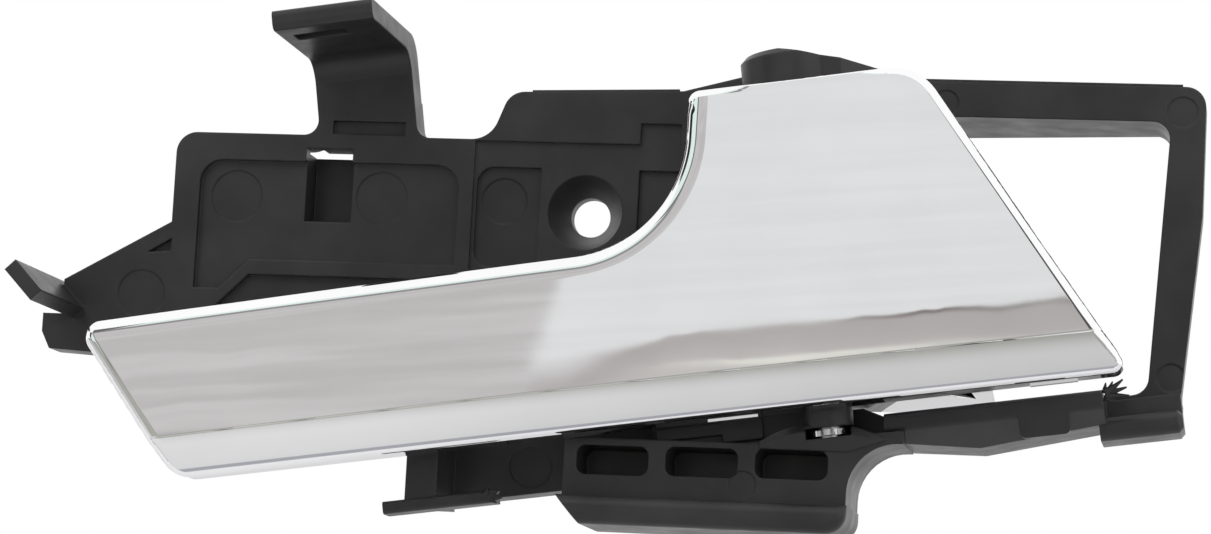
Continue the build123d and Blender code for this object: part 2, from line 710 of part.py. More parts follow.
    # Shallow pockets of the front
    with BuildSketch(front(PLATE_FRONT)):
        span(STEP_LEFT, STEP_JOG, PANEL_BOTTOM, STEP_TOP)
        span(STEP_JOG, WINDOW_LEFT - RIM_WALL, PANEL_BOTTOM, STEP_HIGH)
    extrude(amount=-STEP, mode=Mode.SUBTRACT)
    with BuildSketch(front(PLATE_FRONT)) as pocket:
        outline(
            (POCKET_LEFT, POCKET_BOTTOM - 2 * BAND),
            (POCKET_LEFT, POCKET_TOP),
            (POCKET_RIGHT, POCKET_TOP),
            (POCKET_RIGHT, POCKET_BOTTOM),
            (POCKET_FOOT, POCKET_BOTTOM),
            (POCKET_FOOT - 2 * BAND, POCKET_BOTTOM - 2 * BAND),
        )
        fillet(pocket.vertices().group_by(Axis.Y)[-1], POCKET_CORNER)
    extrude(amount=-POCKET, mode=Mode.SUBTRACT)
    with BuildSketch(front(PLATE_FRONT)):
        outline(
            (POCKET_FOOT, POCKET_BOTTOM - BAND),
            (POCKET_RIGHT, POCKET_BOTTOM - BAND),
            (POCKET_RIGHT, PANEL_BOTTOM + BAND),
            (POCKET_FOOT - 3 * BAND, PANEL_BOTTOM + BAND),
            (POCKET_FOOT - 3 * BAND, POCKET_BOTTOM - 4 * BAND),
        )
    extrude(amount=-POCKET, mode=Mode.SUBTRACT)
    with BuildSketch(front(PLATE_FRONT)) as side_pocket:
        span(STEP_LEFT + INSET, SIDE_POCKET_RIGHT, POCKET_BOTTOM, POCKET_TOP)
        fillet(side_pocket.vertices().group_by(Axis.X)[0], SIDE_POCKET_CORNER)
        span(EAST_POCKET_LEFT, WINDOW_LEFT - RIM_WALL, POCKET_BOTTOM, POCKET_TOP)
    extrude(amount=-SIDE_POCKET, mode=Mode.SUBTRACT)
    with BuildSketch(front(PLATE_FRONT)):
        span(*HOOK_FOOT_POCKET)
        outline(*SHOULDER_POCKET)
    extrude(amount=-POCKET, mode=Mode.SUBTRACT)
    with BuildSketch(across_pin(HOOK_UNDER)):
        span(HOOK_CATCH[0], HOOK_CATCH[1], -HOOK_CATCH[3], -HOOK_CATCH[2])
    extrude(amount=HOOK_CATCH_DEPTH, mode=Mode.SUBTRACT)

    # Blind slots of the lower box
    with BuildSketch(front(BOX_FRONT)):
        for slot in range(SLOTS):
            slot_x = SLOT_LEFT + SLOT_WIDTH / 2 + slot * SLOT_PITCH
            with Locations((slot_x, SLOT_MIDDLE + slot * SLOT_RISE)):
                RectangleRounded(SLOT_WIDTH, SLOT_HEIGHT, SLOT_CORNER)
    extrude(amount=-SLOT_DEPTH, mode=Mode.SUBTRACT)

    # Pin bores, the seat for the pin's sunk head and the slot for its clip
    with BuildSketch(across_pin(PIN_FOOT - SEAT_GAP)):
        Circle(PIN_RADIUS + SEAT_GAP)
    extrude(amount=PIN_TOP - PIN_FOOT + INSET, mode=Mode.SUBTRACT)
    with BuildSketch(across_pin(PIN_TOP)):
        Circle(PIN_HEAD_RADIUS + SEAT_GAP)
    extrude(amount=UPPER_EAR, mode=Mode.SUBTRACT)
    with BuildSketch(across_pin(CLIP_SLOT_V - CLIP_SLOT / 2)):
        span(-CLIP_SLOT_HALF, CLIP_SLOT_HALF, PIVOT_DEPTH - HUMP_FRONT - INSET, CLIP_SLOT_HALF)
    extrude(amount=CLIP_SLOT, mode=Mode.SUBTRACT)

    # Hole for the rubber stop
    with BuildSketch(front(PLATE_FRONT)):
        with Locations(plate_point(STOP_U, STOP_V)):
            Circle(BUMPER_STEM_RADIUS + SEAT_GAP)
    extrude(amount=-RIM_DEPTH, mode=Mode.SUBTRACT)

    # Ejector marks
    for mark_x, mark_z, mark_radius, mark_depth in EJECTOR_MARKS:
        with BuildSketch(front(mark_depth)):
            with Locations((mark_x, mark_z)):
                Circle(mark_radius)
        extrude(amount=-EJECTOR, mode=Mode.SUBTRACT)
bracket.part.label = "bracket"
export_step(bracket.part, "parts/bracket.step")


def lever_body(inset):
    """The lever's closed outer form, drawn in by an inset everywhere but at the back."""
    ring = place(CROWN_U, 0, LEVER_FRONT - LENGTH_RADIUS)
    crown = LENGTH_RADIUS - inset
    arc_centre = crown - FACE_RADIUS
    crease_r = arc_centre + sqrt(FACE_RADIUS**2 - CREASE**2)
    top = LEVER_TOP + SKETCH_SPARE
    foot = LEVER_BOTTOM - SKETCH_SPARE
    deep = LENGTH_RADIUS - 2 * (LEVER_FRONT - LEVER_BACK)
    with BuildPart() as body:
        with BuildSketch(leaning(LEVER_BACK - (INSET if inset else 0))):
            outline(
                (LEVER_LEFT + LEVER_END_SLANT, LEVER_BOTTOM),
                (TAIL_RIGHT, LEVER_BOTTOM),
                (WIDE_RIGHT, LEVER_TOP),
                (WIDE_LEFT, LEVER_TOP),
                (WIDE_LEFT - WIDE_SLANT, BLADE_TOP + BLADE_RISE),
                (LEVER_LEFT, BLADE_TOP),
            )
            corner(LEVER_LEFT + LEVER_END_SLANT, LEVER_BOTTOM, END_CORNER)
            corner(TAIL_RIGHT, LEVER_BOTTOM, TAIL_CORNER)
            corner(WIDE_RIGHT, LEVER_TOP, HEAD_CORNER)
            corner(WIDE_LEFT, LEVER_TOP, NECK_CORNER)
            corner(WIDE_LEFT - WIDE_SLANT, BLADE_TOP + BLADE_RISE, SWEEP_RADIUS)
            corner(LEVER_LEFT, BLADE_TOP, TIP_CORNER)
            if inset:
                offset(amount=-inset, mode=Mode.REPLACE)
        extrude(amount=LEVER_FRONT - LEVER_BACK + SKETCH_SPARE)
        with BuildSketch(Plane(origin=ring, x_dir=PIN_DIR, z_dir=-LEVER_DIR)):
            with BuildLine():
                face = ThreePointArc(
                    (CREASE, crease_r), (0, crown), (top, arc_centre + sqrt(FACE_RADIUS**2 - top**2))
                )
                Polyline(
                    face @ 1,
                    (top, deep),
                    (foot, deep),
                    (foot, crease_r - (CREASE - foot) * tan(radians(BEVEL_ANGLE))),
                    face @ 0,
                )
            make_face()
            corner(CREASE, crease_r, CREASE_RADIUS)
        revolve(axis=Axis(ring, PIN_DIR), mode=Mode.INTERSECT)
    return body.part


# Stiffening ribs of the lever's hollow back
with BuildPart() as lever_ribs:
    with BuildSketch(leaning(LEVER_BACK + RIB_BACK)):
        span(LEVER_LEFT, TAIL_RIGHT, SPINE_V - RIB / 2, SPINE_V + RIB / 2)
        for rib in range(RIBS):
            rib_u = LEVER_LEFT + RIB_PITCH * (rib + 1)
            span(rib_u - RIB / 2, rib_u + RIB / 2, LEVER_BOTTOM, LEVER_TOP)
    extrude(amount=LEVER_FRONT - LEVER_BACK)
    add(lever_body(LEVER_WALL - INSET), mode=Mode.INTERSECT)

with BuildPart() as lever:
    # Rounded shell, hollow at the back
    add(lever_body(0))
    rim = lever.edges().filter_by(Axis.Y, reverse=True)
    rim = rim.filter_by(lambda edge: edge.center().Y < -LEVER_BACK - RIB_BACK)
    long_edges = rim.filter_by(GeomType.CIRCLE).sort_by(SortBy.LENGTH)[-3:]
    creases = long_edges.sort_by(Axis.Z)[1:]
    fillet([edge for edge in rim if edge not in creases], RIM_RADIUS)
    add(lever_body(LEVER_WALL), mode=Mode.SUBTRACT)
    add(lever_ribs.part)

    # Hinge knuckles on arms from the shell
    with BuildSketch(across_pin(LEVER_TOP - KNUCKLE)):
        Circle(KNUCKLE_RADIUS)
        reach = LEVER_FRONT - LEVER_WALL - PIVOT_DEPTH - INSET
        outline((-KNUCKLE_RADIUS, 0), (KNUCKLE_RADIUS, 0), (ARM_SPREAD, -reach), (-ARM_SPREAD, -reach))
    extrude(amount=KNUCKLE - SEAT_GAP)
    with BuildSketch(across_pin(KNUCKLE_FOOT)):
        Circle(KNUCKLE_RADIUS)
        reach = LEVER_BACK + LEVER_WALL - PIVOT_DEPTH
        outline((-KNUCKLE_RADIUS, 0), (KNUCKLE_RADIUS, 0), (ARM_SPREAD, -reach), (-ARM_SPREAD, -reach))
    extrude(amount=KNUCKLE - KNUCKLE_LIFT)

    # Crank plate reaching back through the window, with a three-cornered opening
    with BuildSketch(across_pin(CRANK_FOOT)):
        front_edge = PIVOT_DEPTH - LEVER_BACK - LEVER_WALL
        outline(
            (0, front_edge),
            (CRANK_RIGHT, front_edge),
            (CRANK_TIP_U + CRANK_TIP_RADIUS, CRANK_REACH),
            (CRANK_TIP_U - CRANK_TIP_RADIUS, CRANK_REACH),
            (-KNUCKLE_RADIUS, 0),
        )
        with Locations((CRANK_TIP_U, CRANK_REACH)):
            Circle(CRANK_TIP_RADIUS)
            Circle(CABLE_HOLE_RADIUS, mode=Mode.SUBTRACT)
        opening_right = CRANK_RIGHT - CRANK_RAIL
        Polygon(
            (CRANK_HOLE_LEFT, PIVOT_DEPTH - LEVER_BACK),
            (opening_right, PIVOT_DEPTH - LEVER_BACK),
            (opening_right, CRANK_HOLE_REACH),
            align=None,
            mode=Mode.SUBTRACT,
        )
    extrude(amount=CRANK)

    # Stop post
    with BuildSketch(leaning(STOP_FACE + BUMPER + STOP_GAP)):
        with Locations((STOP_U, STOP_V)):
            Circle(STOP_RADIUS)
            Circle(STOP_RADIUS - RIB, mode=Mode.SUBTRACT)
    extrude(amount=LEVER_FRONT - LEVER_WALL + INSET - STOP_FACE - BUMPER - STOP_GAP)

    # Pin bore
    with BuildSketch(across_pin(LEVER_BOTTOM - INSET)):
        Circle(PIN_RADIUS + BORE_GAP)
    extrude(amount=LEVER_TOP - LEVER_BOTTOM + 2 * INSET, mode=Mode.SUBTRACT)
lever.part.label = "lever"
export_step(lever.part, "parts/lever.step")

# Pin with a bevelled head, and a groove for its clip
with BuildPart() as pivot_pin:
    with BuildSketch(across_pin(PIN_FOOT)):
        Circle(PIN_RADIUS)
    extrude(amount=PIN_TOP - PIN_FOOT)
    with BuildSketch(across_pin(PIN_TOP)):
        Circle(PIN_HEAD_RADIUS)
    extrude(amount=PIN_HEAD)
    chamfer(pivot_pin.edges().filter_by(GeomType.CIRCLE).sort_by(Axis.Z)[-1], PIN_HEAD / 3)
    with BuildSketch(across_pin(CLIP_SLOT_V - RETAINER / 2 - SEAT_GAP)):
        Circle(PIN_RADIUS + INSET)
        Circle(GROOVE_RADIUS, mode=Mode.SUBTRACT)
    extrude(amount=RETAINER + 2 * SEAT_GAP, mode=Mode.SUBTRACT)
pivot_pin.part.label = "pivot_pin"
export_step(pivot_pin.part, "parts/pivot_pin.step")

# Retaining clip, pushed into the lower ear from the cabin side
with BuildPart() as pin_clip:
    with BuildSketch(across_pin(CLIP_SLOT_V - RETAINER / 2)):
        Circle(RETAINER_RADIUS)
        Circle(GROOVE_RADIUS + SEAT_GAP, mode=Mode.SUBTRACT)
        with Locations((0, RETAINER_RADIUS)):
            Rectangle(2 * GROOVE_RADIUS - RUN_GAP, 2 * RETAINER_RADIUS, mode=Mode.SUBTRACT)
        with Locations((-RETAINER_RADIUS / 2, -RETAINER_RADIUS), (RETAINER_RADIUS / 2, -RETAINER_RADIUS)):
            Circle(RETAINER, mode=Mode.SUBTRACT)
    extrude(amount=RETAINER)
pin_clip.part.label = "pin_clip"
export_step(pin_clip.part, "parts/pin_clip.step")

# Torsion spring, drawn upright about its own axis: its lower leg ends on the window's left wall
COIL_PLANE = Plane(
    origin=PIVOT + PIN_DIR * COIL_BASE,
    x_dir=(CABIN_DIR - LEVER_DIR * tan(radians(LEG_ANGLE))).normalized(),
    z_dir=PIN_DIR,
)
COIL_TURN = 360 * COIL_TURNS + LEG_ANGLE
COIL_HEIGHT = COIL_PITCH * COIL_TURN / 360
COIL_CLIMB = atan2(COIL_PITCH, 2 * pi * COIL_RADIUS)
with BuildPart() as coil:
    start = Vector(COIL_RADIUS, 0, 0)
    start_dir = Vector(0, cos(COIL_CLIMB), sin(COIL_CLIMB))
    end = start.rotate(Axis.Z, COIL_TURN) + Vector(0, 0, COIL_HEIGHT)
    end_dir = start_dir.rotate(Axis.Z, COIL_TURN)
    wall_run = COIL_PLANE.origin.X + COIL_PLANE.x_dir.X * COIL_RADIUS - WINDOW_LEFT - WIRE_RADIUS
    wall_leg = wall_run / (COIL_PLANE.y_dir.X * start_dir.Y + PIN_DIR.X * start_dir.Z)
    with BuildLine() as wire:
        Line(start - start_dir * wall_leg, start)
        Helix(COIL_PITCH, COIL_HEIGHT, COIL_RADIUS)
        Line(end, end + end_dir * LEVER_LEG)
    with BuildSketch(Plane(origin=wire.line @ 0, z_dir=wire.line % 0)):
        RegularPolygon(WIRE_RADIUS, WIRE_SIDES)
    sweep(path=wire.line, is_frenet=True)
leaning_coil = COIL_PLANE * coil.part
with BuildPart() as return_spring:
    add(leaning_coil)
return_spring.part.label = "return_spring"
export_step(return_spring.part, "parts/return_spring.step")

# Push-in rubber stop
with BuildPart() as stop_bumper:
    with BuildSketch(leaning(STOP_FACE)):
        with Locations((STOP_U, STOP_V)):
            Circle(BUMPER_RADIUS)
    extrude(amount=BUMPER)
    chamfer(stop_bumper.edges().sort_by(Axis.Y)[0], BUMPER / 4)
    with BuildSketch(leaning(STOP_FACE)):
        with Locations((STOP_U, STOP_V)):
            Circle(BUMPER_STEM_RADIUS)
    extrude(amount=PLATE_BACK - STOP_FACE)
    with BuildSketch(leaning(PLATE_BACK)):
        with Locations((STOP_U, STOP_V)):
            Circle(BUMPER_BULB_RADIUS)
    extrude(amount=-BUMPER_BULB, taper=BUMPER_TAPER)
stop_bumper.part.label = "stop_bumper"
export_step(stop_bumper.part, "parts/stop_bumper.step")
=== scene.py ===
import json
import math
import random

import bpy
from mathutils import Matrix, Vector


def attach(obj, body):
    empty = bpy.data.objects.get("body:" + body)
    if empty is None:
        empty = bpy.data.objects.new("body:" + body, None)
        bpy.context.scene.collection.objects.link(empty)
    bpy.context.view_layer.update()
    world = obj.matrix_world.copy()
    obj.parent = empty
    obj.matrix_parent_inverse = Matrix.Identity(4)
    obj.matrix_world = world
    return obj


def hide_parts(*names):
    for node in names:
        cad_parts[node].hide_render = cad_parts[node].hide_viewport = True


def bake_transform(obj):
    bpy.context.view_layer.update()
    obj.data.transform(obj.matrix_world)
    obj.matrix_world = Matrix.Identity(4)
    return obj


# Car interior door handle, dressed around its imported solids, in metres where nothing else is said
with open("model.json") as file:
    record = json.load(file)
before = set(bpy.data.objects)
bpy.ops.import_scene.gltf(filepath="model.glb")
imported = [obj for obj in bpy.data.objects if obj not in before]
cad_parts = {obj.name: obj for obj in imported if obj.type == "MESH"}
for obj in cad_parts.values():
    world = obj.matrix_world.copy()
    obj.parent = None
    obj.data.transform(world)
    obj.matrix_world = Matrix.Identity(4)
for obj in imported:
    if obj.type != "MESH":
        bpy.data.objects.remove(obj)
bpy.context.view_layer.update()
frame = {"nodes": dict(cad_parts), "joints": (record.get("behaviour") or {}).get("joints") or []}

# Hinge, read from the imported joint, with the ways into the cabin and along the lever
HINGE = frame["joints"][0]
PIVOT = Vector(HINGE["pos_m"])
PIN_DIR = Vector(HINGE["axis"]).normalized()
CABIN_DIR = Vector((0, -1, 0))
LEVER_DIR = PIN_DIR.cross(CABIN_DIR)
MM = 0.001

# Camera of the photograph
IMAGE_WIDTH = 1211
FOCAL_PIXELS = 4000
SENSOR = 36.0
CAMERA_AZIMUTH = math.radians(10.0)
CAMERA_ELEVATION = math.radians(-7.5)
CAMERA_ROLL = math.radians(3.1)
CAMERA_DISTANCE = 0.6
CAMERA_TARGET = Vector((0.0037, -0.006, -0.008238))
CAMERA_NEAR = 0.01
CAMERA_FAR = 50

# Return spring, in millimetres
COIL_BASE = -19.5
COIL_RADIUS = 3.9
COIL_PITCH = 1.4
WIRE_RADIUS = 0.55
LEVER_LEG = 13.0
SPRING_WALL_X = 16.0

# Return spring's whole turns, the part of a turn after them, and how finely its wire is drawn
COIL_TURNS = 3
COIL_PART_TURN = math.pi / 4
COIL_STEPS = 84
WIRE_SIDES = 10
WIRE_SHARP = math.radians(60)

# Lever's front outline before its corners are rounded, along it and up the pin, in millimetres
LEVER_FOOT_LEFT = (-95.8, -25.3)
LEVER_FOOT_RIGHT = (44.1, -25.3)
LEVER_HEAD_RIGHT = (19.1, 21.7)
LEVER_HEAD_LEFT = (-14.1, 21.7)
LEVER_NECK = (-17.3, -0.2)
LEVER_TIP = (-108.6, -1.1)
SWEEP_RADIUS = 18.0

# Crown of the lever's front: its middle along the lever and its two radii, in millimetres
CROWN_U = -20.0
LENGTH_RADIUS = 1300.0
FACE_RADIUS = 260.0

# Plating's roll-off at the sweep, the other edges and below the crease: widths and radii, in millimetres
SWEEP_ROLL = 3.2
SWEEP_ROLL_RADIUS = 7.7
EDGE_ROLL = 1.9
TAIL_ROLL = 1.5
EDGE_ROLL_RADIUS = 4.0
CREASE_RISE = 6.0
CREASE_ROLL = 4.2
CREASE_ROLL_RADIUS = 17.0

# Rim lines, in millimetres: two numbers are where a fade starts and stops, three a band and its softness
RIM_RADIUS = 0.7
HEAD_RIM_IN = (0.3, 1.3, 0.05)
HEAD_RIM_ALONG = (-9.0, 14.0, 5.0)
SWEEP_RIM_IN = (0.1, 1.3, 0.05)
SWEEP_RIM_ALONG = (-107.0, -104.0)
SWEEP_RIM_UP = (20.0, 18.0)
RIM_BACK = 27.0
RIM_BACK_FADE = 1.0

# Mould tabs on the lever's lower edge: their ends along it, their height and their depth, in millimetres
TABS = ((-16.8, -9.5), (29.7, 36.5))
TAB_TOP = -25.0
TAB_FOOT = -25.5
TAB_FRONT = 24.0
TAB_DEPTH = 1.6

# Flash on two edges of the plate: its ends on the plate's x and z and its full height, in millimetres
FLASHES = {
    "flash_plateau": ((-9.0, 18.1), (13.5, 18.75), 0.35),
    "flash_frame": ((50.0, 21.2), (88.5, 21.2), 0.3),
}
FLASH_FRONT = 5.6
FLASH_STEP = 0.45
FLASH_ROOT = 0.4
FLASH_THICK = 0.5
FLASH_SEED = 4

# Torn ends' chips in millimetres: root along lever, up pin and ahead, turn in degrees, length, width
TORN_ENDS = {
    "bar_chips": (
        (39.9, -26.3, 17.4, 75, 0.9, 0.7),
        (40.6, -26.3, 17.2, 62, 1.1, 0.7),
        (40.3, -26.6, 17.6, 25, 1.6, 1.0),
        (40.6, -26.5, 17.0, 34, 2.4, 0.7),
        (40.5, -26.9, 17.3, 12, 2.6, 0.7),
        (40.4, -27.3, 17.5, -6, 2.9, 0.7),
        (40.2, -27.7, 17.2, -18, 2.2, 0.8),
    ),
    "flange_chips": (
        (-50.2, -31.6, 18.3, 12, 0.9, 1.3),
        (-50.1, -32.3, 18.2, -8, 1.2, 1.2),
        (-51.2, -31.3, 18.4, 70, 0.6, 1.0),
        (-50.4, -32.7, 18.3, -40, 0.8, 0.8),
    ),
}

# Form of a chip: thickness, depth of its root and bend of its knee, in millimetres
CHIP_THICK = 1.0
CHIP_ROOT = 0.6
CHIP_BEND = 0.2

# Form of a chip: where its knee is along its length, and its width at the tip and at the knee, as shares
CHIP_KNEE = 0.6
CHIP_POINT = 0.2
CHIP_SHOULDER = 0.8

# Stage: a floor, a card for the room in front of the handle and a dark card at its left
FLOOR_HEIGHT = -0.125
FLOOR_SIZE = 8.0
CARD_Y = -1.4
CARD_LEFT = -1.45
CARD_RIGHT = 0.6
CARD_TOP = 0.8
SIDE_X = -1.45
SIDE_END = -0.7
SIDE_FOOT = 0.0
SIDE_TOP = 0.8
SIDE_TONE = (0.02, 0.02, 0.02, 1)
STAGE_ROUGHNESS = 0.9

# Soft boxes that shine on the origin: place, size and watts
LAMPS = {
    "key": ((-0.5, -0.8, 0.9), 0.7, 9),
    "fill": ((0.9, -0.7, 0.2), 0.8, 4),
}
WORLD_LIGHT = 0.6
WORLD_SEEN = 1.0
WHITE = (1, 1, 1, 1)

# Floor's glow to the camera and, behind the handle, in reflections, with the spans where it grows
FLOOR_GLOW = 0.2
FLOOR_FAR_GLOW = 0.4
FLOOR_FAR = (0.3, 1.2)
FLOOR_BEHIND_GLOW = 0.5
FLOOR_BEHIND = (0.9, 1.0)

# Floor's tone, then its tones in reflections, most of them with the span of x or y where they come in
FLOOR_TONE = (0.85, 0.85, 0.85)
FLOOR_RIGHT = (0.55, 0.55, 0.55)
FLOOR_MIDDLE = ((0.10, -0.08), (0.685, 0.685, 0.69))
FLOOR_LEFT = ((-0.22, -0.30), (0.50, 0.495, 0.485))
FLOOR_FRONT = ((-0.155, -0.30), (0.30, 0.30, 0.275))
FLOOR_UNDER = ((-0.045, -0.04), (0.85, 0.85, 0.86))
# Grey strip seen in reflections just ahead of the handle: a painted shadow of the handle on the floor
FLOOR_PAINTED_SHADOW = ((-0.062, -0.045, 0.002), (0.38, 0.38, 0.42))

# Table on the room card: height and tilt of its edge, its drop at the left, its softness and its waves
TABLE_HEIGHT = 0.032
TABLE_TILT = 0.095
TABLE_RISE = (-0.27, -0.17)
TABLE_DROP = 0.05
TABLE_SOFT = 0.034
TABLE_SHARPER = 0.032
TABLE_WAVES = ((9, 0.028), (55, 0.009))
WAVE_STRETCH = (1, 1, 0.2)

# Tones of the room card's middle, with the spans of x or of a tilted height where they come in
ROOM_TONE = (0.745, 0.752, 0.757)
TABLE_FRONT = (0.425, 0.40, 0.395)
TABLE_DEEP = (-0.012, -0.075)
TABLE_LEFT = (0.54, 0.52, 0.505)
TABLE_RIGHT = ((-0.08, 0.06), (0.45, 0.43, 0.42))
TABLE_LINE = ((-0.011, -0.005), (0.19, 0.165, 0.16))
TABLE_LINE_X = (-0.06, 0.02)
CREASE_LIGHT = ((-0.042, -0.034, 0.002), (0.74, 0.735, 0.68))
CREASE_LIGHT_X = (-0.22, -0.1)

# Tones of the room card's left wall, its streaks, its low corner, the ceiling and the line below that
WALL_LIGHT = (0.585, 0.574, 0.57)
WALL_DARK = (0.505, 0.492, 0.488)
WALL_X = (-0.277, -0.293)
STREAK_SCALE = 14
STREAK_DETAIL = 5
STREAK_STRETCH = (0.25, 1, 4)
STREAK_SPAN = (0.35, 0.65)
STREAK_SHARE = 0.10
STREAK_TONE = (0.465, 0.45, 0.44)
LOW_LEFT = ((0.12, 0.06), (0.40, 0.39, 0.375))
LOW_LEFT_X = (-0.71, -0.75)
CEILING = ((0.69, 0.71), (0.74, 0.86, 0.81))
BLADE_LINE = ((0.58, 0.69, 0.01), (0.28, 0.27, 0.28))
BLADE_LINE_X = (-0.14, -0.2)

# Tones of the room card's ends, for the lever's right and left edges, with their spans of x
ROOM_ENDS = (
    ((0.17, 0.54, 0.01), (0.08, 0.08, 0.08)),
    ((-0.90, -0.92), (0.74, 0.86, 0.81)),
    ((-0.91, -0.84, 0.01), (0.12, 0.12, 0.12)),
    ((-1.24, -1.26), (0.02, 0.02, 0.02)),
)

# Steel's dullest tone and its least and most roughness, as shares
STEEL_DULL = 0.85
STEEL_SMOOTH = 0.8
STEEL_ROUGH = 1.3

# Node settings: samples of a rounded edge, the range of noise and the mix node's sockets by number
EDGE_SAMPLES = 6
NOISE_LOW = 0.3
NOISE_HIGH = 0.7
MIX_SOCKETS = {"RGBA": (6, 7, 2), "VECTOR": (4, 5, 1)}


def metres(lengths):
    """Lengths in millimetres, turned into metres."""
    return [length * MM for length in lengths]


def place(u, v, depth):
    """A point in millimetres along the lever, up the pin and ahead of the screw's seat."""
    return PIVOT + LEVER_DIR * (u * MM) + PIN_DIR * (v * MM) + CABIN_DIR * (depth * MM + PIVOT.y)


def plate_place(x, z, depth):
    """A point in millimetres on the plate's own x and z, ahead of the screw's seat."""
    return Vector((x * MM, -depth * MM, z * MM))


def rectangle(left, right, low, high):
    """A rectangle's corners, in order round it."""
    return [(left, low), (right, low), (right, high), (left, high)]


def add_camera():
    """The photograph's view: from the right, a little below, with a slight roll."""
    back = Vector(
        (
            math.sin(CAMERA_AZIMUTH) * math.cos(CAMERA_ELEVATION),
            -math.cos(CAMERA_AZIMUTH) * math.cos(CAMERA_ELEVATION),
            math.sin(CAMERA_ELEVATION),
        )
    )
    level = Vector((math.cos(CAMERA_AZIMUTH), math.sin(CAMERA_AZIMUTH), 0))
    right = Matrix.Rotation(CAMERA_ROLL, 3, back) @ level
    up = back.cross(right)
    camera = bpy.data.cameras.new("camera")
    camera.sensor_fit = "HORIZONTAL"
    camera.sensor_width = SENSOR
    camera.lens = SENSOR * FOCAL_PIXELS / IMAGE_WIDTH
    camera.clip_start = CAMERA_NEAR
    camera.clip_end = CAMERA_FAR
    holder = bpy.data.objects.new("camera", camera)
    pose = Matrix((right, up, back)).transposed().to_4x4()
    pose.translation = CAMERA_TARGET + back * CAMERA_DISTANCE
    holder.matrix_world = pose
    bpy.context.scene.collection.objects.link(holder)
    bpy.context.scene.camera = holder


